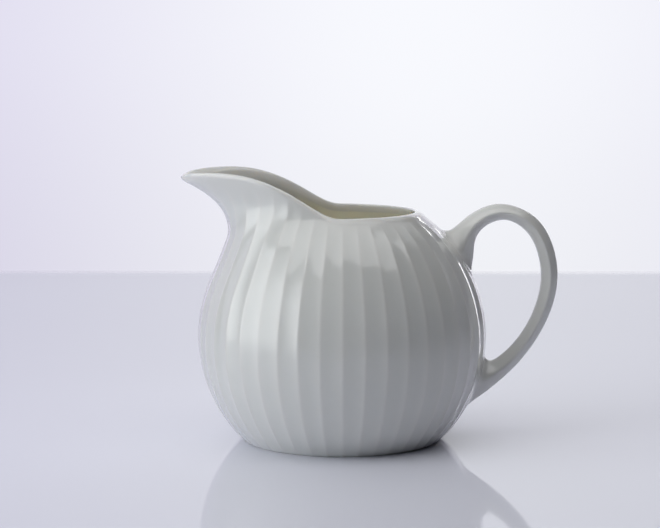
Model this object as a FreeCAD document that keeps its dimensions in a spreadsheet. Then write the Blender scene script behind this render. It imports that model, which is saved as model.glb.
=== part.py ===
"""Porcelain cream jug: a slip-cast fluted body, and a handle stuck on with two joints of slip.

Millimetres, +Z up. The origin is on the belly's axis, in the plane that the foot ring stands on.
The spout points along -X and the handle along +X, so the jug mirrors itself in the XZ plane.
"""
import FreeCAD, Part
import math
import os

import Sketcher
from FreeCAD import Placement, Rotation, Vector

SIZES = {
    "belly_radius": 46.2,      # the belly is a sphere
    "belly_height": 33.5,      # its centre above the table
    "wall": 2.8,               # thickness of the belly's wall
    "lip_wall": 1.8,           # the wall thins to this at the rim
    "rim_low": 73.6,           # height of the rim behind and at the sides
    "floor_height": 4.2,       # inside floor above the table
    "floor_corner": 11.0,      # radius between the inside floor and the wall
    "foot_inner_radius": 28.0,
    "foot_recess": 1.4,        # the base is hollowed by this inside the foot ring
    "flute_count": 42,
    "flute_depth": 0.3,        # on the belly, below the edges between flutes
    "flute_top": 72.2,         # where the flutes run out behind and at the sides
    "flute_top_front": 84.0,   # and below the spout
    "spout_start": 0.5,        # how far forward the flutes begin to rise, from 0 behind to 1 in front
    "spout_full": 0.95,        # and have risen in full
    "flute_fade": 4.2,         # height over which they run out, doubled below the spout
    "foot_fade": 3.0,          # the flutes are half as deep at the foot, and whole from this height
    "slip_gap": 0.35,          # from the body's unfluted outside to the handle, filled with slip
    "loop_middle": 40.0,       # height that divides the upper slip joint from the lower one
}

# The neck is a stack of level sections, each half round behind its widest place and drawn out to the
# spout before it: height, reach behind, reach in front, half width along Y, x of the widest place,
# and how pointed the front is, from 0 for an ellipse to 1.
NECK_CELLS = ("level", "back", "front", "half", "widest", "point")
NECK = [
    (58.0, 39.2, 39.7, 39.4, -0.3, 0.0),
    (62.0, 36.5, 38.15, 37.0, -0.8, 0.0),
    (66.0, 33.2, 36.7, 34.2, -1.8, 0.0),
    (70.0, 28.8, 36.75, 30.5, -4.0, 0.05),
    (73.5, 24.5, 38.1, 27.5, -6.0, 0.1),
    (77.0, 20.6, 41.0, 26.4, -6.0, 0.2),
    (81.0, 16.8, 46.6, 26.0, -6.0, 0.3),
    (85.0, 13.8, 53.8, 25.8, -6.0, 0.5),
    (89.0, 11.5, 60.5, 25.8, -6.0, 0.7),
]
BELLY_LEVELS = [0.0, 8.0, 17.0, 26.0, 35.0, 44.0, 52.0]

# The rim from the side, from beyond the spout's tip to where it is level: x, and height above rim_low.
RIM = [
    (-70.0, -6.0),
    (-60.0, 4.0),
    (-51.4, 11.0),
    (-45.5, 12.6),
    (-38.2, 13.2),
    (-31.8, 12.75),
    (-25.5, 11.3),
    (-19.3, 8.9),
    (-13.1, 5.6),
    (-7.0, 2.0),
    (-3.0, 0.35),
    (2.3, 0.0),
]

# The handle's sections, from inside the upper root to inside the lower one. Each is an oval:
# x and z of its outer edge, x and z of its inner edge, and its width along Y.
HANDLE_CELLS = ("outer_x", "outer_z", "inner_x", "inner_z", "width")
HANDLE = [
    (30.0, 65.5, 39.6, 50.5, 12.0),
    (35.6, 68.0, 42.0, 58.0, 10.8),
    (39.4, 71.2, 42.6, 63.6, 9.2),
    (43.9, 74.1, 45.0, 67.8, 8.3),
    (50.5, 75.8, 50.6, 70.5, 8.0),
    (57.2, 74.3, 55.2, 69.7, 8.0),
    (63.4, 69.9, 59.6, 66.1, 8.0),
    (67.9, 61.3, 62.7, 59.8, 8.0),
    (69.2, 52.0, 63.8, 52.1, 8.0),
    (67.6, 42.7, 62.4, 44.0, 8.0),
    (62.7, 32.2, 58.5, 35.4, 8.0),
    (56.0, 23.4, 52.8, 28.4, 8.2),
    (51.1, 18.7, 49.2, 25.6, 9.0),
    (46.2, 14.7, 47.2, 25.2, 10.6),
    (38.0, 9.0, 44.0, 27.6, 12.0),
]
HANDLE_SPANS = [(0, 4), (4, 7), (7, 10), (10, 14)]   # the sections that each loft of the handle joins

POINTS_PER_FLUTE = 4
CORNER_STEPS = 4
OVAL_POINTS = 12
PLAIN_POINTS = 48
HALVINGS = 40
CLEAR, CLEAR_TOP = 60.0, 100.0   # past the jug behind, and above it

doc = FreeCAD.newDocument("cream_jug")
sheet = doc.addObject("Spreadsheet::Sheet", "sizes")


def fill_row(columns, names, values, number, family):
    """Writes one section's sizes in a row of the sheet, each with an alias such as neck_back_3."""
    for column, name, value in zip(columns, names, values):
        cell = f"{column}{number + 1}"
        sheet.set(cell, str(value))
        sheet.setAlias(cell, f"{family}_{name}_{number}")


def fill_sheet():
    for row, (name, value) in enumerate(SIZES.items(), start=1):
        sheet.set(f"A{row}", name)
        sheet.set(f"B{row}", str(value))
        sheet.setAlias(f"B{row}", name)
    for number, section in enumerate(NECK):
        fill_row("DEFGHI", NECK_CELLS, section, number, "neck")
    for number, section in enumerate(HANDLE):
        fill_row("KLMNO", HANDLE_CELLS, section, number, "handle")
    doc.recompute()


def size(name):
    return float(sheet.get(name))


# Sketches and features


def origin_plane(body, role):
    return next(feature for feature in body.Origin.OriginFeatures if feature.Role == role)


def add_sketch(body, name, role, offset=Placement()):
    sketch = body.newObject("Sketcher::SketchObject", name)
    sketch.AttachmentSupport = (origin_plane(body, role), [""])
    sketch.MapMode = "FlatFace"
    sketch.AttachmentOffset = offset
    return sketch


def level_sketch(body, name, level, cell, curve):
    """A sketch at a level, which follows the cell that holds the level if there is one."""
    sketch = add_sketch(body, name, "XY_Plane", Placement(Vector(0, 0, level), Rotation()))
    if cell:
        sketch.setExpression("AttachmentOffset.Base.z", f"sizes.{cell}")
    sketch.addGeometry(curve, False)
    return sketch


def loft(body, kind, name, sketches):
    feature = body.newObject(f"PartDesign::{kind}Loft", name)
    feature.Profile = sketches[0]
    feature.Sections = sketches[1:]
    doc.recompute()
    return feature


def boolean(kind, name, base, tool):
    result = doc.addObject(f"Part::{kind}", name)
    result.Base = base
    result.Tool = tool
    # Merging a round face's halves across its seam would loosen the pads' edges.
    result.Refine = False
    return result


def closed_spline(points):
    curve = Part.BSplineCurve()
    curve.interpolate(Points=points, PeriodicFlag=True)
    return curve


def oval(half_x, half_y):
    """A near ellipse that always starts on its X axis, so that a loft through several doesn't twist."""
    turns = [2 * math.pi * step / OVAL_POINTS for step in range(OVAL_POINTS)]
    return closed_spline([Vector(half_x * math.cos(turn), half_y * math.sin(turn), 0) for turn in turns])


# The jug's outside


def sphere_reach(radius, level):
    """Radius at a level of a sphere about the belly's centre."""
    return math.sqrt(radius**2 - (level - size("belly_height")) ** 2)


def levels():
    """Every section's level, with the name of the cell that holds it, or None on the belly."""
    neck = [(size(f"neck_level_{number}"), f"neck_level_{number}") for number in range(len(NECK))]
    return [(level, None) for level in BELLY_LEVELS] + neck


def section_at(level):
    """The outside's section at one of the levels: back, front, half, widest and point."""
    for number in range(len(NECK)):
        if level == size(f"neck_level_{number}"):
            return [size(f"neck_{name}_{number}") for name in NECK_CELLS[1:]]
    return circle_section(sphere_reach(size("belly_radius"), level))


def circle_section(radius):
    return [radius, radius, radius, 0.0, 0.0]


def half_width_at(section, x):
    """Half the section's width along Y at an x that it reaches, and 0 beyond its ends."""
    back, front, half, widest, point = section
    reach = back - widest if x > widest else front + widest
    left = max(1 - ((x - widest) / reach) ** 2, 0)
    if x > widest:
        return half * math.sqrt(left)
    return half * ((1 - point) * math.sqrt(left) + point * left**1.5)


def outline_radius(section, azimuth):
    """Distance from the jug's axis to the section's outline, found by halving."""
    inside, outside = 0.0, 2 * max(section[:3])
    for _ in range(HALVINGS):
        radius = (inside + outside) / 2
        if radius * abs(math.sin(azimuth)) < half_width_at(section, radius * math.cos(azimuth)):
            inside = radius
        else:
            outside = radius
    return inside


def outline_point(section, azimuth, depth=0.0):
    radius = outline_radius(section, azimuth) - depth
    return Vector(radius * math.cos(azimuth), radius * math.sin(azimuth), 0)


def plain_curve(section):
    turns = [2 * math.pi * step / PLAIN_POINTS for step in range(PLAIN_POINTS)]
    return closed_spline([outline_point(section, turn) for turn in turns])


def under_spout(azimuth):
    """0 behind and at the sides, rising smoothly to 1 below the spout."""
    ahead = (1 - math.cos(azimuth)) / 2
    share = (ahead - size("spout_start")) / (size("spout_full") - size("spout_start"))
    share = min(max(share, 0), 1)
    return share * share * (3 - 2 * share)


def flute_share(level, azimuth):
    """1 where a flute has its full depth, falling smoothly to 0 a little under the rim, where it runs out."""
    spout = under_spout(azimuth)
    top = size("flute_top") + (size("flute_top_front") - size("flute_top")) * spout
    above = min(max((top - level) / (size("flute_fade") * (1 + spout)), 0), 1)
    below = min(0.5 + level / (2 * size("foot_fade")), 1)
    return above * above * (3 - 2 * above) * below


def fluted_curve(level):
    """One closed spline around the jug. Each flute is a shallow hollow between two edges."""
    count = int(size("flute_count"))
    section = section_at(level)
    full_depth = size("flute_depth") * section[2] / size("belly_radius")
    points = []
    for step in range(count * POINTS_PER_FLUTE):
        across = (step % POINTS_PER_FLUTE) / POINTS_PER_FLUTE
        azimuth = 2 * math.pi * (step / POINTS_PER_FLUTE - 0.5) / count
        hollow = 1 - (2 * across - 1) ** 2
        points.append(outline_point(section, azimuth, full_depth * hollow * flute_share(level, azimuth)))
    return closed_spline(points)


def add_outside(body):
    sketches = [
        level_sketch(body, "outside_section", level, cell, fluted_curve(level)) for level, cell in levels()
    ]
    loft(body, "Additive", "outside", sketches)


def add_rim_cut(body):
    """Everything above the rim goes: the rim is level behind, and rises over the spout."""
    sketch = add_sketch(body, "rim_outline", "XZ_Plane")
    rim = [Vector(x, size("rim_low") + rise, 0) for x, rise in RIM]
    curve = Part.BSplineCurve()
    curve.interpolate(rim)
    sketch.addGeometry(curve, False)
    low = rim[-1].y
    corners = [rim[-1], Vector(CLEAR, low, 0), Vector(CLEAR, CLEAR_TOP, 0), Vector(rim[0].x, CLEAR_TOP, 0)]
    for start, end in zip(corners, corners[1:] + [rim[0]]):
        sketch.addGeometry(Part.LineSegment(start, end), False)
    pocket = body.newObject("PartDesign::Pocket", "rim_cut")
    pocket.Profile = sketch
    pocket.Type = "ThroughAll"
    pocket.Midplane = True
    doc.recompute()


# The jug's inside and foot


def inside_section(index):
    """A neck section, less the wall. The wall leans with the side, and thins from the belly to the rim."""
    heights = [level for level, cell in levels()]
    low, high = heights[index - 1], heights[min(index + 1, len(heights) - 1)]
    belly_top = BELLY_LEVELS[-1]
    thinned = min(max((heights[index] - belly_top) / (size("rim_low") - belly_top), 0), 1)
    wall = size("wall") + (size("lip_wall") - size("wall")) * thinned
    section = section_at(heights[index])
    for side in range(3):
        slope = (section_at(high)[side] - section_at(low)[side]) / (high - low)
        section[side] -= wall * math.hypot(1, slope)
    return section


def corner_sections():
    """Level and radius at even steps round the arc that joins the inside floor to the wall."""
    inner_radius = size("belly_radius") - size("wall")
    corner, floor = size("floor_corner"), size("floor_height")
    below = size("belly_height") - floor - corner
    centre = math.sqrt((inner_radius - corner) ** 2 - below**2)
    sweep = math.acos(below / (inner_radius - corner))
    for step in range(CORNER_STEPS + 1):
        turned = sweep * step / CORNER_STEPS
        yield floor + corner * (1 - math.cos(turned)), centre + corner * math.sin(turned)


def add_inside(body):
    """The hollow: a sphere one wall smaller up to the neck, then sections one wall inside the neck's."""
    inner_radius = size("belly_radius") - size("wall")
    sketches = []
    for corner_level, radius in corner_sections():
        curve = plain_curve(circle_section(radius))
        sketches.append(level_sketch(body, "floor_section", corner_level, None, curve))
    for index, (level, cell) in enumerate(levels()):
        if level <= corner_level:
            continue
        section = inside_section(index) if cell else circle_section(sphere_reach(inner_radius, level))
        sketches.append(level_sketch(body, "inside_section", level, cell, plain_curve(section)))
    loft(body, "Subtractive", "inside", sketches)


def add_foot_recess(body):
    """A shallow round recess under the floor, which leaves the foot ring to stand on."""
    sketch = add_sketch(body, "recess_circle", "XY_Plane")
    radius = size("foot_inner_radius")
    circle = sketch.addGeometry(Part.Circle(Vector(0, 0, 0), Vector(0, 0, 1), radius), False)
    sketch.addConstraint(Sketcher.Constraint("Coincident", circle, 3, -1, 1))
    bound = sketch.addConstraint(Sketcher.Constraint("Radius", circle, radius))
    sketch.setExpression(f"Constraints[{bound}]", "sizes.foot_inner_radius")
    pocket = body.newObject("PartDesign::Pocket", "foot_recess")
    pocket.Profile = sketch
    pocket.Reversed = True
    pocket.setExpression("Length", "sizes.foot_recess")
    doc.recompute()


def make_jug_body():
    """The slip-cast piece: belly, neck, spout and foot ring in one. Each cut must take something away."""
    body = doc.addObject("PartDesign::Body", "jug_body")
    body.Label = "jug_body"
    add_outside(body)
    for cut in (add_rim_cut, add_inside, add_foot_recess):
        before = body.Shape.Volume
        cut(body)
        if body.Shape.Volume >= before:
            raise ValueError(f"{cut.__name__} cut nothing")
    return body


# The handle and its slip joints


def handle_section(body, number):
    """A sketch whose X axis runs towards the section's inner edge, and whose Y axis is the jug's."""
    outer_x, outer_z, inner_x, inner_z, width = [size(f"handle_{name}_{number}") for name in HANDLE_CELLS]
    middle = Vector((outer_x + inner_x) / 2, 0, (outer_z + inner_z) / 2)
    thickness = math.hypot(inner_x - outer_x, inner_z - outer_z)
    turn = Rotation(Vector(0, 1, 0), math.degrees(math.atan2(outer_z - inner_z, inner_x - outer_x)))
    sketch = add_sketch(body, "handle_section", "XY_Plane", Placement(middle, turn))
    sketch.addGeometry(oval(thickness / 2, width / 2), False)
    return sketch


def make_handle_blank():
    """The handle with its roots run on into the belly. One loft can't turn as far as the handle does."""
    body = doc.addObject("PartDesign::Body", "handle_blank")
    sketches = [handle_section(body, number) for number in range(len(HANDLE))]
    for first, last in HANDLE_SPANS:
        loft(body, "Additive", "handle_span", sketches[first : last + 1])
    return body


def make_jacket():
    """The jug's unfluted outside, one slip gap larger: the surface that the handle is cut to."""
    body = doc.addObject("PartDesign::Body", "jacket")
    sketches = []
    for level, cell in levels():
        section = section_at(level)
        section[:3] = [reach + size("slip_gap") for reach in section[:3]]
        sketches.append(level_sketch(body, "jacket_section", level, cell, plain_curve(section)))
    loft(body, "Additive", "jacket_solid", sketches)
    return body


def make_handle(blank, jacket):
    """The handle as it is stuck on: the blank with the belly's curve cut out of both roots."""
    handle = boolean("Cut", "handle", blank, jacket)
    handle.Label = "handle"
    return handle


def make_roots(blank):
    """The blank without what runs past the middle of the jug's wall."""
    core = doc.addObject("Part::Sphere", "core")
    core.setExpression("Radius", "sizes.belly_radius - sizes.wall / 2")
    core.setExpression("Placement.Base.z", "sizes.belly_height")
    return boolean("Cut", "roots", blank, core)


def make_slip_joint(name, roots, jacket, jug_body, low, high):
    """A pad of fired slip: it fills the flutes under a root, and meets root and body face to face."""
    reach = doc.addObject("Part::Box", f"{name}_reach")
    reach.Length, reach.Width, reach.Height = CLEAR, CLEAR, high - low
    reach.Placement = Placement(Vector(0, -CLEAR / 2, low), Rotation())
    root = boolean("Common", f"{name}_root", roots, reach)
    filled = boolean("Common", f"{name}_filled", root, jacket)
    joint = boolean("Cut", name, filled, jug_body)
    joint.Label = name
    return joint


def check(parts):
    for feature in doc.Objects:
        if {"Invalid", "Error"} & set(feature.State):
            raise ValueError(f"{feature.Name} failed: {feature.State}")
    for part in parts:
        if part.Shape.isNull() or not part.Shape.isValid() or len(part.Shape.Solids) != 1:
            raise ValueError(f"{part.Label} isn't one valid solid")


def main():
    fill_sheet()
    jug_body = make_jug_body()
    blank, jacket = make_handle_blank(), make_jacket()
    roots = make_roots(blank)
    middle = size("loop_middle")
    parts = [
        jug_body,
        make_handle(blank, jacket),
        make_slip_joint("upper_slip_joint", roots, jacket, jug_body, middle, CLEAR_TOP),
        make_slip_joint("lower_slip_joint", roots, jacket, jug_body, 0, middle),
    ]
    doc.recompute()
    check(parts)
    os.makedirs("parts", exist_ok=True)
    for part in parts:
        part.Shape.exportStep(f"parts/{part.Label}.step")
        print(part.Label, round(part.Shape.Volume, 1), "mm3")


main()
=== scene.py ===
import math

import bpy
import numpy as np
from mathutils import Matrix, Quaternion, Vector


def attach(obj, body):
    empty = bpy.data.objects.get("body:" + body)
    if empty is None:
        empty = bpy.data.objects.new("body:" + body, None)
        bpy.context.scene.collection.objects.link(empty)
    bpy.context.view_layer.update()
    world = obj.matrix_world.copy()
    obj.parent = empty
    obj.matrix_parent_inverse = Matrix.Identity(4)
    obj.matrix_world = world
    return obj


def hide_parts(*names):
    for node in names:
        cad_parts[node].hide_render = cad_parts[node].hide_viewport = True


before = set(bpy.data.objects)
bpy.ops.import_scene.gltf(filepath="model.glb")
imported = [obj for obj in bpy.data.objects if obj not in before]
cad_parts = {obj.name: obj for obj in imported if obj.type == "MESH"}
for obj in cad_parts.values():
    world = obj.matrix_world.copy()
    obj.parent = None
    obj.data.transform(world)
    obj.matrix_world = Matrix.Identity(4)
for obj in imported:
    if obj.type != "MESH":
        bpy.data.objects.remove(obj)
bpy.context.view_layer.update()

# Sizes are in millimetres, as in the CAD model, and each mesh is scaled to metres once, when it is made.
MM = 0.001

# ---------------------------------------------------------------- the jug's sizes, as in the CAD model

BELLY_RADIUS = 46.2
BELLY_HEIGHT = 33.5  # of the belly's centre
BELLY_TOP = 52.0  # the side is a sphere up to this level
WALL = 2.8
LIP_WALL = 1.8
RIM_LOW = 73.6  # the level of the rim behind
FLOOR_HEIGHT = 4.2
FLOOR_CORNER = 11.0
FOOT_INNER_RADIUS = 28.0
FOOT_RECESS = 1.4

FLUTE_COUNT = 42
FLUTE_DEPTH = 0.3
FLUTE_TOP = 72.2  # the level at which the flutes have run out, behind and at the sides
FLUTE_TOP_FRONT = 84.0  # the same below the spout
FLUTE_FADE = 4.2  # the height over which they run out, doubled below the spout
FOOT_FADE = 3.0  # the height at which they have their full depth, from half of it at the foot
SPOUT_START = 0.5  # of the way from the handle to the spout: here the flutes start to rise to the spout's
SPOUT_FULL = 0.95

# Above the belly: level, then the section's reach behind, in front and to each side, where it is widest, and
# how far its front narrows to a point.
NECK = [
    (58.0, 39.2, 39.7, 39.4, -0.3, 0.0),
    (62.0, 36.5, 38.15, 37.0, -0.8, 0.0),
    (66.0, 33.2, 36.7, 34.2, -1.8, 0.0),
    (70.0, 28.8, 36.75, 30.5, -4.0, 0.05),
    (73.5, 24.5, 38.1, 27.5, -6.0, 0.1),
    (77.0, 20.6, 41.0, 26.4, -6.0, 0.2),
    (81.0, 16.8, 46.6, 26.0, -6.0, 0.3),
    (85.0, 13.8, 53.8, 25.8, -6.0, 0.42),
    (89.0, 11.5, 60.5, 25.8, -6.0, 0.58),
]

# The rim from in front of the spout's tip back to where it runs level: x, and its rise above RIM_LOW.
RIM = [
    (-70.0, -6.0),
    (-60.0, 4.0),
    (-51.4, 11.0),
    (-49.4, 12.0),
    (-45.5, 12.9),
    (-38.2, 13.2),
    (-31.8, 12.75),
    (-25.5, 11.3),
    (-19.3, 8.9),
    (-13.1, 5.6),
    (-7.0, 2.0),
    (-3.0, 0.35),
    (2.3, 0.0),
]

# The handle from its upper root to its lower one: outer x and z, inner x and z, and width.
HANDLE = [
    (30.0, 65.5, 39.6, 50.5, 12.0),
    (35.6, 68.0, 42.0, 58.0, 10.8),
    (39.4, 71.2, 42.6, 63.6, 9.2),
    (43.9, 74.1, 45.0, 67.8, 8.3),
    (50.5, 75.8, 50.6, 70.5, 8.0),
    (57.2, 74.3, 55.2, 69.7, 8.0),
    (63.4, 69.9, 59.6, 66.1, 8.0),
    (67.9, 61.3, 62.7, 59.8, 8.0),
    (69.2, 52.0, 63.8, 52.1, 8.0),
    (67.6, 42.7, 62.4, 44.0, 8.0),
    (62.7, 32.2, 58.5, 35.4, 8.0),
    (56.0, 23.4, 52.8, 28.4, 8.2),
    (51.1, 18.7, 49.2, 25.6, 9.0),
    (46.2, 14.7, 47.2, 25.2, 10.6),
    (38.0, 9.0, 44.0, 27.6, 12.0),
]

# ---------------------------------------------------------------- sizes that only the mesh has

COLUMNS = FLUTE_COUNT * 12
RISE_FROM = 56.0  # below this level the rings lie flat, and above it they rise with the rim
SIDE_RINGS = 73
NECK_RINGS = 45
LIP_RINGS = 14
THROAT_RINGS = 30
BELLY_RINGS = 39
CORNER_RINGS = 11

RECESS_DOME = 0.25  # how much higher the recess is in its middle
RECESS_CORNER = 1.0
FACE_CORNER = 0.4  # the round at the inner edge of the foot ring's face
FOOT_ROUND = 0.7  # the height of the round at its outer edge
FOOT_ROUND_WIDTH = 1.15
GLAZE_START = 0.12  # up to this level the glaze is wiped off the foot

LIP_OUTER_DROP = 1.7  # how far below the rim its round starts outside
LIP_INNER_DROP = 2.6  # and ends inside
LIP_CROWN = 0.5  # how far the round's two handles stand above the rim
TIP_START = 0.93  # the cosine of the angle from the spout's middle at which the lip starts to form the tip
TIP_OUTER_DROP = 2.2
TIP_INNER_DROP = 1.2
TIP_OUTER_LIFT = -0.25  # how far the outer handle stands above the rim there
TIP_INNER_LIFT = 0.9
TIP_OUTER_OUT = 0.75  # and how far it stands out from the jug's axis, past the surface
TIP_INNER_OUT = 1.9

# Painted light inside the jug: below the first level the inside is painted brighter and warmer, fading in
# over the second height.
INSIDE_PAINTED_LIGHT_TOP = 80.0  # above this level the inside has no painted light and looks like the outside
INSIDE_PAINTED_LIGHT_FADE = 12.0

HANDLE_SIDES = 64
LOOP_RINGS = 118  # between the two roots
SIDE_PINCH = 0.5  # how much the handle's section falls short of an ellipse beside its edges
UPPER_ROOT = (0.02, 0.24)  # the shares of the handle's length between which its upper root meets the side
LOWER_ROOT = (0.985, 0.78)
UPPER_FILLET = 2.2
LOWER_FILLET = 2.0
FILLET_RINGS = 14

# ---------------------------------------------------------------- curves and surfaces


class Spline:
    """A natural cubic spline through rows of values."""

    def __init__(self, at, rows):
        self.at, self.rows = np.array(at, float), np.array(rows, float)
        count, step = len(self.at), np.diff(self.at)
        matrix, right = np.eye(count), np.zeros_like(self.rows)
        for i in range(1, count - 1):
            matrix[i, i - 1 : i + 2] = step[i - 1], 2 * (step[i - 1] + step[i]), step[i]
            change = np.diff(self.rows[i - 1 : i + 2], axis=0) / step[i - 1 : i + 1, None]
            right[i] = 6 * (change[1] - change[0])
        self.bend = np.linalg.solve(matrix, right)

    def __call__(self, where):
        where = np.asarray(where, float)
        i = np.clip(np.searchsorted(self.at, where) - 1, 0, len(self.at) - 2)
        step = (self.at[i + 1] - self.at[i])[..., None]
        a = (self.at[i + 1] - where)[..., None] / step
        b = 1 - a
        straight = a * self.rows[i] + b * self.rows[i + 1]
        return straight + ((a**3 - a) * self.bend[i] + (b**3 - b) * self.bend[i + 1]) * step**2 / 6


def smooth(share):
    share = np.clip(share, 0, 1)
    return share * share * (3 - 2 * share)


def halved(low, high, is_below):
    """Where is_below turns false, between arrays of lows and highs, found by halving."""
    for _ in range(40):
        middle = (low + high) / 2
        below = is_below(middle)
        low, high = np.where(below, middle, low), np.where(below, high, middle)
    return low


def sphere_reach(radius, level):
    return np.sqrt(np.maximum(radius**2 - (np.asarray(level, float) - BELLY_HEIGHT) ** 2, 0))


def circle_row(radius):
    """A round section, in the form of NECK's rows."""
    return [float(radius)] * 3 + [0.0, 0.0]


def outside_rows():
    """Levels and sections that the outside's spline runs through."""
    rows = [(level, circle_row(sphere_reach(BELLY_RADIUS, level))) for level in (35.0, 44.0, BELLY_TOP)]
    return rows + [(row[0], list(row[1:])) for row in NECK]


def inside_rows():
    """The same sections, less the wall, which leans with the side and thins towards the rim."""
    outer, made = outside_rows(), []
    for i, (level, row) in enumerate(outer):
        if level <= BELLY_TOP:
            made.append((level, circle_row(sphere_reach(BELLY_RADIUS - WALL, level))))
            continue
        (low, under), (high, over) = outer[i - 1], outer[min(i + 1, len(outer) - 1)]
        thinned = min(max((level - BELLY_TOP) / (RIM_LOW - BELLY_TOP), 0), 1)
        wall = WALL + (LIP_WALL - WALL) * thinned
        less = [wall * math.hypot(1, (over[k] - under[k]) / (high - low)) for k in range(3)]
        made.append((level, [row[k] - less[k] for k in range(3)] + row[3:]))
    return made


OUTSIDE = Spline(*zip(*outside_rows()))
INSIDE = Spline(*zip(*inside_rows()))
RIM_CURVE = Spline([row[0] for row in RIM], [[RIM_LOW + row[1]] for row in RIM])


def outline_radius(section, azimuth):
    """Distance from the jug's axis to the section's outline at each azimuth."""
    back, front, half, widest, point = np.moveaxis(section, -1, 0)

    def within(radius):
        x = radius * np.cos(azimuth)
        reach = np.where(x > widest, back - widest, front + widest)
        left = np.maximum(1 - ((x - widest) / reach) ** 2, 0)
        narrow = np.where(x > widest, 0, point)
        limit = half * ((1 - narrow) * np.sqrt(left) + narrow * left**1.5)
        return radius * np.abs(np.sin(azimuth)) < limit

    return halved(np.zeros(azimuth.shape), np.full(azimuth.shape, 2 * BELLY_RADIUS), within)


def surface_radius(rows, sphere, level, azimuth):
    """Radius of the outside or the inside at levels and azimuths, flutes apart."""
    radius = outline_radius(rows(np.maximum(level, BELLY_TOP)), azimuth)
    return np.where(level <= BELLY_TOP, sphere_reach(sphere, level), radius)


def outside_radius(level, azimuth):
    return surface_radius(OUTSIDE, BELLY_RADIUS, level, azimuth)


def inside_radius(level, azimuth):
    return surface_radius(INSIDE, BELLY_RADIUS - WALL, level, azimuth)


def flute_share(level, azimuth):
    """1 where a flute has its full depth, falling smoothly to 0 where it runs out."""
    ahead = (1 - np.cos(azimuth)) / 2
    spout = smooth((ahead - SPOUT_START) / (SPOUT_FULL - SPOUT_START))
    top = FLUTE_TOP + (FLUTE_TOP_FRONT - FLUTE_TOP) * spout
    return smooth((top - level) / (FLUTE_FADE * (1 + spout))) * np.minimum(0.5 + level / (2 * FOOT_FADE), 1)


def flute_hollow(azimuth):
    """0 on the edges between flutes and 1 down the middle of each."""
    across = (azimuth * FLUTE_COUNT / (2 * math.pi) + 0.5) % 1
    return 1 - (2 * across - 1) ** 2


def fluted_radius(level, azimuth):
    """Radius of the outside with its flutes, which are as much shallower as the jug is narrower."""
    level = level + 0 * azimuth
    half = OUTSIDE(np.maximum(level, BELLY_TOP))[..., 2]
    half = np.where(level <= BELLY_TOP, sphere_reach(BELLY_RADIUS, level), half)
    depth = FLUTE_DEPTH * half / BELLY_RADIUS
    return outside_radius(level, azimuth) - depth * flute_hollow(azimuth) * flute_share(level, azimuth)


def rim_level(radius_at, azimuth):
    """The level at which a surface meets the rim, at each azimuth."""

    def below_rim(level):
        x = radius_at(level, azimuth) * np.cos(azimuth)
        rim = RIM_CURVE(np.clip(x, RIM[0][0], RIM[-1][0]))[..., 0]
        return level < np.where(x > RIM[-1][0], RIM_LOW, rim)

    return halved(np.full(azimuth.shape, BELLY_TOP), np.full(azimuth.shape, NECK[-1][0]), below_rim)


# ---------------------------------------------------------------- meshes


def steps(start, end, count):
    """Evenly spaced values after the start, up to the end."""
    return np.linspace(start, end, count + 1)[1:]


def bezier(start, first, second, end, shares):
    """Rings of points along a cubic Bezier, for rings of ends and handles."""
    t = shares[:, None, None]
    return (1 - t) ** 3 * start + 3 * t * (1 - t) ** 2 * first + 3 * t * t * (1 - t) * second + t**3 * end


def closed_skin(rings, first_end, last_end):
    """Points and faces of rings joined in order, with a fan of triangles to a point at each end."""
    count, columns = rings.shape[:2]
    index = np.arange(count * columns).reshape(count, columns)
    following = np.roll(index, -1, axis=1)
    quads = np.stack([index[:-1], following[:-1], following[1:], index[1:]], axis=-1)
    faces = quads.reshape(-1, 4).tolist()
    first, last = count * columns, count * columns + 1
    faces += [(first, *pair) for pair in zip(following[0].tolist(), index[0].tolist())]
    faces += [(last, *pair) for pair in zip(index[-1].tolist(), following[-1].tolist())]
    return np.vstack([rings.reshape(-1, 3), first_end, last_end]), faces


def make_object(name, points, faces, attributes):
    """A smooth-shaded mesh object in metres, with one value per point for each named attribute."""
    mesh = bpy.data.meshes.new(name)
    mesh.from_pydata((points * MM).tolist(), [], faces)
    mesh.shade_smooth()
    for label, values in attributes.items():
        layer = mesh.attributes.new(label, "FLOAT", "POINT")
        layer.data.foreach_set("value", np.asarray(values, np.float32))
    made = bpy.data.objects.new(name, mesh)
    bpy.context.scene.collection.objects.link(made)
    return made


def face_outwards(made):
    """Turns the mesh's faces outwards if the solid they close would have a negative volume."""
    mesh = made.data
    mesh.calc_loop_triangles()
    points = np.array([vertex.co for vertex in mesh.vertices])
    corners = np.array([triangle.vertices for triangle in mesh.loop_triangles])
    a, b, c = points[corners[:, 0]], points[corners[:, 1]], points[corners[:, 2]]
    if np.einsum("ij,ij->i", a, np.cross(b, c)).sum() < 0:
        mesh.flip_normals()


# ---------------------------------------------------------------- the jug's body


def polar(radius, level, azimuth):
    """A ring of points at the given radii and levels, which are arrays or single numbers."""
    return np.stack([radius * np.cos(azimuth), radius * np.sin(azimuth), level + 0 * azimuth], axis=-1)


def recess_rings(azimuth):
    """The underside from near its middle to the foot ring."""
    flat = (1.0, 8.0, 16.0, 22.0, 25.5)
    rings = [polar(radius, FOOT_RECESS + RECESS_DOME * (1 - radius / flat[-1]), azimuth) for radius in flat]
    for turn in np.radians(np.linspace(0, 90, 5)):
        reach = FOOT_INNER_RADIUS - RECESS_CORNER * (1 - math.sin(turn))
        rings.append(polar(reach, FOOT_RECESS - RECESS_CORNER * (1 - math.cos(turn)), azimuth))
    return rings


def foot_rings(azimuth):
    """The foot ring's inner corner and the flat face that the jug stands on."""
    rings = []
    for turn in np.radians(np.linspace(0, 90, 4)):
        reach = FOOT_INNER_RADIUS + FACE_CORNER * (1 - math.cos(turn))
        rings.append(polar(reach, FACE_CORNER * (1 - math.sin(turn)), azimuth))
    inner = FOOT_INNER_RADIUS + FACE_CORNER
    outer = fluted_radius(FOOT_ROUND, azimuth).mean() - FOOT_ROUND_WIDTH
    return rings + [polar(inner + share * (outer - inner), 0, azimuth) for share in (0.35, 0.7)]


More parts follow.
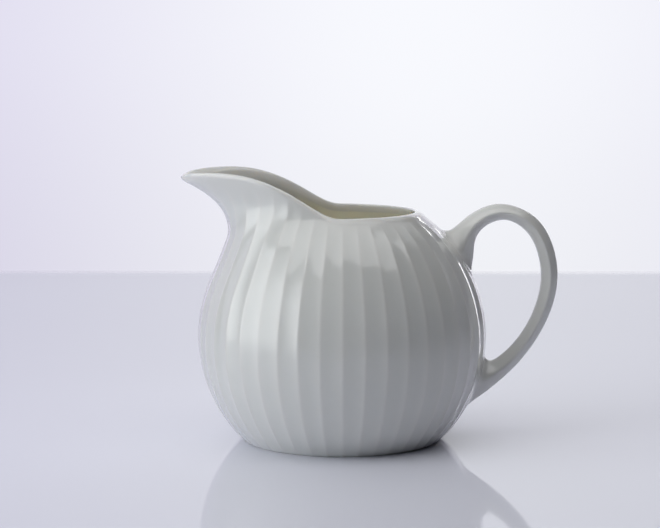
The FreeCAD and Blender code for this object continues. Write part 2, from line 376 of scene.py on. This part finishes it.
def foot_round_rings(azimuth):
    """The round from the foot's face into the fluted side. Its corner handle lies just inside the side."""
    side = fluted_radius(FOOT_ROUND, azimuth)
    start, end = polar(side - FOOT_ROUND_WIDTH, 0, azimuth), polar(side, FOOT_ROUND, azimuth)
    corner = polar(fluted_radius(0.05, azimuth) - 0.1, 0, azimuth)
    return list(bezier(start, corner - 0.3 * (corner - start), corner, end, np.linspace(0, 1, 7)))


def side_rings(azimuth, lip_start):
    """The fluted side from above the foot's round to where the lip starts to turn over."""
    levels = list(steps(FOOT_ROUND, RISE_FROM, SIDE_RINGS))
    levels += [RISE_FROM + (lip_start - RISE_FROM) * share for share in steps(0, 1, NECK_RINGS)]
    return [polar(fluted_radius(level, azimuth), level, azimuth) for level in levels]


def lip_rings(azimuth, start, outer_rim, inner_rim, lip_end, at_tip):
    """The round over the rim, which is drawn out to a beak at the spout's tip."""
    outer = polar(outside_radius(outer_rim, azimuth) + TIP_OUTER_OUT * at_tip, outer_rim, azimuth)
    inner = polar(inside_radius(inner_rim, azimuth) + TIP_INNER_OUT * at_tip, inner_rim, azimuth)
    outer[:, 2] += LIP_CROWN + (TIP_OUTER_LIFT - LIP_CROWN) * at_tip
    inner[:, 2] += LIP_CROWN + (TIP_INNER_LIFT - LIP_CROWN) * at_tip
    end = polar(inside_radius(lip_end, azimuth), lip_end, azimuth)
    return list(bezier(start, outer, inner, end, steps(0, 1, LIP_RINGS)))


def hollow_rings(azimuth, lip_end):
    """The inside from under the lip to the floor's rounded corner and the floor."""
    levels = [lip_end + (RISE_FROM - lip_end) * share for share in steps(0, 1, THROAT_RINGS)]
    rings = [polar(inside_radius(level, azimuth), level, azimuth) for level in levels]

    inner = BELLY_RADIUS - WALL
    sweep = math.acos((BELLY_HEIGHT - FLOOR_HEIGHT - FLOOR_CORNER) / (inner - FLOOR_CORNER))
    centre = (inner - FLOOR_CORNER) * math.sin(sweep)
    corner_top = FLOOR_HEIGHT + FLOOR_CORNER * (1 - math.cos(sweep))
    for level in steps(RISE_FROM, corner_top, BELLY_RINGS):
        rings.append(polar(inside_radius(np.array([level]), np.zeros(1)), level, azimuth))
    for turn in steps(sweep, 0, CORNER_RINGS):
        level = FLOOR_HEIGHT + FLOOR_CORNER * (1 - math.cos(turn))
        rings.append(polar(centre + FLOOR_CORNER * math.sin(turn), level, azimuth))
    return rings + [polar(radius, FLOOR_HEIGHT, azimuth) for radius in (20.0, 13.0, 6.0, 1.0)]


def jug_rings(azimuth):
    """Every ring, from the recess over the foot, the side and the lip to the floor, and each one's kind."""
    outer_rim, inner_rim = rim_level(outside_radius, azimuth), rim_level(inside_radius, azimuth)
    at_tip = smooth((-np.cos(azimuth) - TIP_START) / (1 - TIP_START))
    lip_start = outer_rim - LIP_OUTER_DROP + (LIP_OUTER_DROP - TIP_OUTER_DROP) * at_tip
    lip_end = inner_rim - LIP_INNER_DROP + (LIP_INNER_DROP - TIP_INNER_DROP) * at_tip

    foot_round, side = foot_round_rings(azimuth), side_rings(azimuth, lip_start)
    wiped = sum(ring[0, 2] < GLAZE_START for ring in foot_round)
    parts = [
        ("under", recess_rings(azimuth)),
        ("foot", foot_rings(azimuth) + foot_round[:wiped]),
        ("outside", foot_round[wiped:] + side),
        ("lip", lip_rings(azimuth, side[-1], outer_rim, inner_rim, lip_end, at_tip)),
        ("inside", hollow_rings(azimuth, lip_end)),
    ]
    kinds = [kind for kind, rings in parts for _ in rings]
    return np.array([ring for _, rings in parts for ring in rings]), np.array(kinds)


def make_jug():
    """The jug as one closed skin. Its second material is the unglazed foot."""
    azimuth = 2 * math.pi * (np.arange(COLUMNS) / COLUMNS - 0.5 / FLUTE_COUNT)
    rings, kinds = jug_rings(azimuth)
    points, faces = closed_skin(rings, [0, 0, FOOT_RECESS + RECESS_DOME], [0, 0, FLOOR_HEIGHT])

    level, kind = rings[..., 2], np.broadcast_to(kinds[:, None], rings.shape[:2])
    pool = (kind == "outside") * flute_hollow(azimuth) * flute_share(level, azimuth)
    # Painted light: the inside's mask of brighter, warmer paint, none near the rim and full deep down; the
    # lip's mask below carries painted light on the lip.
    depth = (kind == "inside") * smooth((INSIDE_PAINTED_LIGHT_TOP - level) / INSIDE_PAINTED_LIGHT_FADE)
    attributes = {
        "glaze_pool": np.append(pool, [0, 0]),
        "inside": np.append(depth, [0, 1]),
        "lip": np.append(kind == "lip", [0, 0]),
    }
    made = make_object("jug_shell", points, faces, attributes)

    unglazed = (kinds[:-1] == "foot") & (kinds[1:] == "foot")
    material = np.zeros(len(faces), np.int32)
    material[: len(unglazed) * COLUMNS] = np.repeat(unglazed, COLUMNS)
    made.data.polygons.foreach_set("material_index", material)
    return made


# ---------------------------------------------------------------- the handle


def handle_curve():
    """HANDLE's rows as a spline over the share of the handle's length."""
    rows = np.array(HANDLE)
    middles = (rows[:, 0:2] + rows[:, 2:4]) / 2
    along = np.append(0, np.cumsum(np.hypot(*np.diff(middles, axis=0).T)))
    return Spline(along / along[-1], rows)


HANDLE_CURVE = handle_curve()


def handle_points(shares, sides):
    """Points of the handle's surface without its fillets, for shares of its length and turns round it."""
    outer_x, outer_z, inner_x, inner_z, width = np.moveaxis(HANDLE_CURVE(shares), -1, 0)
    middle = np.stack([(outer_x + inner_x) / 2, 0 * width, (outer_z + inner_z) / 2], axis=-1)
    half = np.stack([(outer_x - inner_x) / 2, 0 * width, (outer_z - inner_z) / 2], axis=-1)
    lean = np.cos(sides) * (1 - SIDE_PINCH * np.sin(sides) ** 2)
    side = np.stack([0 * width, width / 2 * np.sin(sides), 0 * width], axis=-1)
    return middle + half * lean[..., None] + side


def body_distance(points):
    """Distance outside the jug's unfluted side, near enough beside it, and the side's normal there."""
    azimuth = np.arctan2(points[..., 1], points[..., 0])
    level, reach = points[..., 2], np.hypot(points[..., 0], points[..., 1])
    step = 0.2
    slope = (outside_radius(level + step, azimuth) - outside_radius(level - step, azimuth)) / (2 * step)
    steep = np.sqrt(1 + slope**2)
    normal = np.stack([np.cos(azimuth), np.sin(azimuth), -slope], axis=-1) / steep[..., None]
    return (reach - outside_radius(level, azimuth)) / steep, normal


def root_rings(root, fillet, sides):
    """Rings down the fillet onto the jug's side and on into its wall, and the share each column starts at."""
    shares = np.linspace(*root, 160)[:, None] + 0 * sides
    distance, _ = body_distance(handle_points(shares, sides + 0 * shares))

    def share_at(height):
        """The share of the handle's length at which each column stands this high above the side."""
        order = np.argsort(distance, axis=0)
        heights, ordered = np.take_along_axis(distance, order, 0), np.take_along_axis(shares, order, 0)
        return np.array([np.interp(height, *column) for column in zip(heights.T, ordered.T)])

    # Each ring's height above the side, and how far it is spread.
    arc = np.radians(np.linspace(90, 0, FILLET_RINGS))
    profile = [(fillet * (1 - math.cos(turn)), fillet * (1 - math.sin(turn))) for turn in arc]
    profile += [(-0.08, fillet + 0.4), (-0.35, fillet + 1.0), (-0.8, fillet + 1.0), (-1.3, 0.0)]
    rings = []
    for height, spread in profile:
        share = share_at(height)
        ring = handle_points(share, sides)
        _, normal = body_distance(ring)
        around = handle_points(share, sides + 0.02) - handle_points(share, sides - 0.02)
        out = np.cross(around, normal)
        out /= np.linalg.norm(out, axis=1)[:, None]
        out *= np.sign(((ring - ring.mean(0)) * out).sum())
        rings.append(ring + out * spread)
    return rings, share_at(fillet)


def make_handle():
    """The handle with its roots spread over the jug's side and closed off inside the wall."""
    sides = 2 * math.pi * np.arange(HANDLE_SIDES) / HANDLE_SIDES
    upper, upper_tops = root_rings(UPPER_ROOT, UPPER_FILLET, sides)
    lower, lower_tops = root_rings(LOWER_ROOT, LOWER_FILLET, sides)
    between = np.linspace(0, 1, LOOP_RINGS + 2)[1:-1]
    loop = [handle_points(upper_tops + (lower_tops - upper_tops) * share, sides) for share in between]
    rings = np.array(upper[::-1] + loop + lower)
    points, faces = closed_skin(rings, rings[0].mean(0), rings[-1].mean(0))
    none = np.zeros(len(points))
    return make_object("handle_loop", points, faces, {"glaze_pool": none, "inside": none, "lip": none})


# ---------------------------------------------------------------- materials


class Nodes:
    """A small helper for building a material's nodes."""

    def __init__(self, name):
        self.material = bpy.data.materials.new(name)
        self.material.use_nodes = True
        self.tree = self.material.node_tree
        self.shader = self.tree.nodes["Principled BSDF"]

    def feed(self, socket, value):
        """Links the socket to another one, or gives it a value of its own."""
        if isinstance(value, bpy.types.NodeSocket):
            self.tree.links.new(value, socket)
        else:
            socket.default_value = value

    def add(self, kind, inputs=None, **settings):
        node = self.tree.nodes.new(kind)
        for key, value in settings.items():
            setattr(node, key, value)
        for key, value in (inputs or {}).items():
            self.feed(node.inputs[key], value)
        return node

    def set(self, **values):
        for key, value in values.items():
            self.feed(self.shader.inputs[key.replace("_", " ")], value)

    def place(self):
        return self.add("ShaderNodeTexCoord").outputs["Object"]

    def axes(self):
        """The place on the object as separate X, Y and Z."""
        return self.add("ShaderNodeSeparateXYZ", {"Vector": self.place()}).outputs

    def noise(self, scale, detail=2.0, roughness=0.5):
        inputs = {"Vector": self.place(), "Scale": scale, "Detail": detail, "Roughness": roughness}
        return self.add("ShaderNodeTexNoise", inputs).outputs["Fac"]

    def spread(self, value, low, high, to_low, to_high):
        inputs = {"Value": value, "From Min": low, "From Max": high, "To Min": to_low, "To Max": to_high}
        return self.add("ShaderNodeMapRange", inputs, interpolation_type="SMOOTHSTEP").outputs["Result"]

    def mix(self, share, first, second):
        """A colour between two, each a socket or red, green and blue."""
        inputs = {0: share}
        for key, colour in ((6, first), (7, second)):
            inputs[key] = colour if isinstance(colour, bpy.types.NodeSocket) else (*colour, 1)
        return self.add("ShaderNodeMix", inputs, data_type="RGBA").outputs[2]

    def attribute(self, name):
        return self.add("ShaderNodeAttribute", attribute_name=name).outputs["Fac"]

    def math(self, operation, first, second=0.0):
        return self.add("ShaderNodeMath", {0: first, 1: second}, operation=operation).outputs[0]

    def product(self, first, *others):
        for other in others:
            first = self.math("MULTIPLY", first, other)
        return first

    def bump(self, height, distance, strength, under=None):
        inputs = {"Height": height, "Distance": distance, "Strength": strength}
        if under is not None:
            inputs["Normal"] = under
        return self.add("ShaderNodeBump", inputs).outputs["Normal"]

    def glow(self, colour, strength):
        """Makes the surface shine on its own and reflect nothing."""
        self.set(Base_Color=(0.0, 0.0, 0.0, 1), Roughness=1.0, Specular_IOR_Level=0.0)
        self.set(Emission_Color=colour, Emission_Strength=strength)


def glaze_material():
    """White porcelain under a clear, cool glaze that lies thicker in the flutes, with painted light on the
    lip and inside: the lip is painted paler and warmer, and the inside brighter and warmer the deeper it
    lies.
    """
    nodes = Nodes("porcelain_glaze")
    # inside and lip are the masks of the painted light inside and on the lip; they also raise the subsurface
    # weight.
    inside, lip = nodes.attribute("inside"), nodes.product(nodes.attribute("lip"), 0.6)
    cloud = nodes.spread(nodes.noise(38.0, 3.0, 0.55), 0.3, 0.7, 0.0, 1.0)
    colour = nodes.mix(cloud, (0.755, 0.762, 0.738), (0.785, 0.788, 0.76))
    colour = nodes.mix(nodes.product(nodes.attribute("glaze_pool"), 0.55), colour, (0.715, 0.735, 0.713))
    # Painted highlight: the lip is painted paler and warmer.
    colour = nodes.mix(lip, colour, (0.82, 0.815, 0.79))
    # Painted light: the inside is painted brighter and warmer the deeper it lies.
    colour = nodes.mix(inside, colour, (0.93, 0.905, 0.79))
    speck = nodes.spread(nodes.noise(1500.0, 1.0, 0.5), 0.74, 0.8, 0.0, 0.12)
    colour = nodes.mix(speck, colour, (0.45, 0.44, 0.41))
    wavy = nodes.bump(nodes.noise(140.0), 0.00006, 0.8)
    peel = nodes.bump(nodes.noise(900.0), 0.000006, 0.7, wavy)
    nodes.set(
        Base_Color=colour,
        Roughness=nodes.spread(nodes.noise(60.0, 2.0, 0.6), 0.3, 0.7, 0.1, 0.16),
        IOR=1.5,
        Subsurface_Weight=nodes.spread(nodes.math("MAXIMUM", inside, lip), 0.0, 1.0, 0.08, 0.85),
        Subsurface_Radius=(0.004, 0.0036, 0.003),
        Subsurface_Scale=1.0,
        Coat_Weight=0.8,
        Coat_Roughness=0.04,
        Coat_IOR=1.5,
        Normal=peel,
        Coat_Normal=peel,
    )
    return nodes.material


def foot_material():
    """The foot ring, wiped free of glaze and polished: a matt, faintly warm, speckled paste."""
    nodes = Nodes("unglazed_foot")
    grain = nodes.spread(nodes.noise(700.0, 4.0, 0.65), 0.3, 0.7, 0.0, 1.0)
    paste = nodes.mix(grain, (0.60, 0.58, 0.53), (0.72, 0.70, 0.65))
    stain = nodes.spread(nodes.noise(90.0, 3.0, 0.6), 0.52, 0.7, 0.0, 0.35)
    colour = nodes.mix(stain, paste, (0.46, 0.42, 0.36))
    rough = nodes.spread(nodes.noise(400.0), 0.3, 0.7, 0.55, 0.75)
    nodes.set(Base_Color=colour, Roughness=rough, Normal=nodes.bump(grain, 0.00004, 0.8))
    return nodes.material


def slip_material():
    """Fired slip between the handle and the body."""
    nodes = Nodes("fired_slip")
    grain = nodes.spread(nodes.noise(800.0, 3.0, 0.6), 0.3, 0.7, 0.0, 1.0)
    colour = nodes.mix(grain, (0.62, 0.61, 0.58), (0.72, 0.71, 0.68))
    rough = nodes.spread(nodes.noise(300.0), 0.3, 0.7, 0.45, 0.65)
    nodes.set(Base_Color=colour, Roughness=rough, Normal=nodes.bump(grain, 0.00003, 0.6))
    return nodes.material


# ---------------------------------------------------------------- build

jug_body = make_jug()
handle = make_handle()
glaze = glaze_material()
for made in (jug_body, handle):
    face_outwards(made)
    made.data.materials.append(glaze)
jug_body.data.materials.append(foot_material())

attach(jug_body, "root")
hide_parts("jug_body")
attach(handle, "root")
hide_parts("handle")

slip = slip_material()
for name in ("upper_slip_joint", "lower_slip_joint"):
    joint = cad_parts[name]
    joint.data.materials.clear()
    joint.data.materials.append(slip)

# ---------------------------------------------------------------- table, backdrop, lights and camera, in m

TABLE_EDGE = 0.427  # the y of the table's far edge
EDGE_SLANT = 0.014  # how much nearer the edge comes per metre to the right
EDGE_BLUR = 0.012  # half the depth over which it fades out


def plane(name, corners, material):
    mesh = bpy.data.meshes.new(name)
    mesh.from_pydata(corners, [], [(0, 1, 2, 3)])
    made = bpy.data.objects.new(name, mesh)
    bpy.context.scene.collection.objects.link(made)
    made.data.materials.append(material)
    return made


def table_material():
    """A pale, bluish, polished top with painted shade towards the left, and a soft and slightly slanted edge.
    """
    nodes = Nodes("pale_table")
    place = nodes.axes()
    # Painted shade: the top is painted darker and bluer towards the left.
    left = nodes.spread(place["X"], -0.45, 0.05, 1.0, 0.0)
    cloud = nodes.mix(nodes.noise(3.0), (0.85, 0.86, 0.96), (0.88, 0.89, 0.99))
    colour = nodes.mix(left, cloud, (0.73, 0.75, 0.87))
    rough = nodes.spread(nodes.noise(25.0), 0.3, 0.7, 0.03, 0.05)
    back = nodes.math("ADD", place["Y"], nodes.product(place["X"], EDGE_SLANT))
    fade = nodes.spread(back, TABLE_EDGE - EDGE_BLUR, TABLE_EDGE + EDGE_BLUR, 1.0, 0.0)
    nodes.set(Base_Color=colour, Roughness=rough, IOR=1.4, Alpha=fade)
    return nodes.material


def backdrop_material():
    """A lit white cloth, brightest a little right of the middle, darker and cooler to the sides."""
    nodes = Nodes("pale_backdrop")
    place = nodes.axes()
    left = nodes.spread(place["X"], -0.55, 0.1, 0.0, 1.0)
    right = nodes.spread(place["X"], 0.1, 0.95, 1.0, 0.0)
    colour = nodes.mix(nodes.product(left, right), (0.725, 0.695, 0.85), (0.945, 0.955, 1.0))
    height = nodes.spread(place["Z"], -0.25, 0.13, 0.915, 1.0)
    cloud = nodes.spread(nodes.noise(2.0), 0.3, 0.7, 0.985, 1.0)
    # Outside the photo's frame the cloth is dimmer, which only the glaze's reflections show.
    beyond_left = nodes.spread(place["X"], -0.95, -0.45, 0.68, 1.0)
    beyond_right = nodes.spread(place["X"], 0.6, 1.1, 1.0, 0.15)
    nodes.glow(colour, nodes.product(height, cloud, beyond_left, beyond_right))
    return nodes.material


def soft_light(name, place, target, size, strength, edge, tint=(1.0, 1.0, 1.0), turn=0.0):
    """A studio diffuser: a glowing cloth that fades over a share of its half width at each edge. The camera
    doesn't see it."""
    nodes = Nodes(name)
    cloth = nodes.axes()
    fades = []
    for axis, half in (("X", size[0] / 2), ("Y", size[1] / 2)):
        off = nodes.math("ABSOLUTE", cloth[axis])
        fades.append(nodes.spread(off, half * (1 - edge), half, 1.0, 0.0))
    nodes.glow((*tint, 1), nodes.product(*fades, strength))
    x, y = size[0] / 2, size[1] / 2
    made = plane(name, [(-x, -y, 0), (x, -y, 0), (x, y, 0), (-x, y, 0)], nodes.material)
    made.location = place
    facing = (Vector(target) - Vector(place)).to_track_quat("Z", "Y")
    made.rotation_mode = "QUATERNION"
    made.rotation_quaternion = facing @ Quaternion((0, 0, 1), math.radians(turn))
    made.visible_camera = False


plane("table", [(-3, -1.6, 0), (3, -1.6, 0), (3, 0.5, 0), (-3, 0.5, 0)], table_material())
plane("backdrop", [(-4, 1.6, -1.5), (4, 1.6, -1.5), (4, 1.6, 3), (-4, 1.6, 3)], backdrop_material())

left_tint = (0.955, 0.985, 1.0)
overhead_tint = (0.96, 0.97, 1.0)
soft_light("left_diffuser", (-0.89, -0.335, 0.2), (0, 0, 0.1), (1.45, 1.5), 2.45, 0.6, tint=left_tint)
soft_light("overhead_diffuser", (-0.1, 0.3, 0.64), (-0.1, 0.3, 0), (1.4, 0.9), 0.6, 0.3, tint=overhead_tint)
soft_light("overhead_panel", (-0.02, -0.19, 0.62), (-0.02, -0.19, 0), (1.0, 0.44), 1.4, 0.08, turn=-12.0)
soft_light("right_strip", (0.47, 0.9, 0.22), (0.03, 0, 0.04), (0.05, 0.9), 3.5, 0.5)

world = bpy.data.worlds.new("studio")
world.use_nodes = True
world.node_tree.nodes["Background"].inputs["Color"].default_value = (0.9, 0.92, 1.0, 1)
world.node_tree.nodes["Background"].inputs["Strength"].default_value = 0.01
bpy.context.scene.world = world
bpy.context.scene.view_settings.view_transform = "Standard"

# The camera that fits the rim, the foot and the table's edge in the photo.
camera_data = bpy.data.cameras.new("camera")
camera_data.lens = 118.2
camera_data.sensor_width = 36.0
camera = bpy.data.objects.new("camera", camera_data)
camera.location = (-0.00385, -0.690, 0.1401)
camera.rotation_euler = (math.radians(83.08), 0, 0)
bpy.context.scene.collection.objects.link(camera)
bpy.context.scene.camera = camera
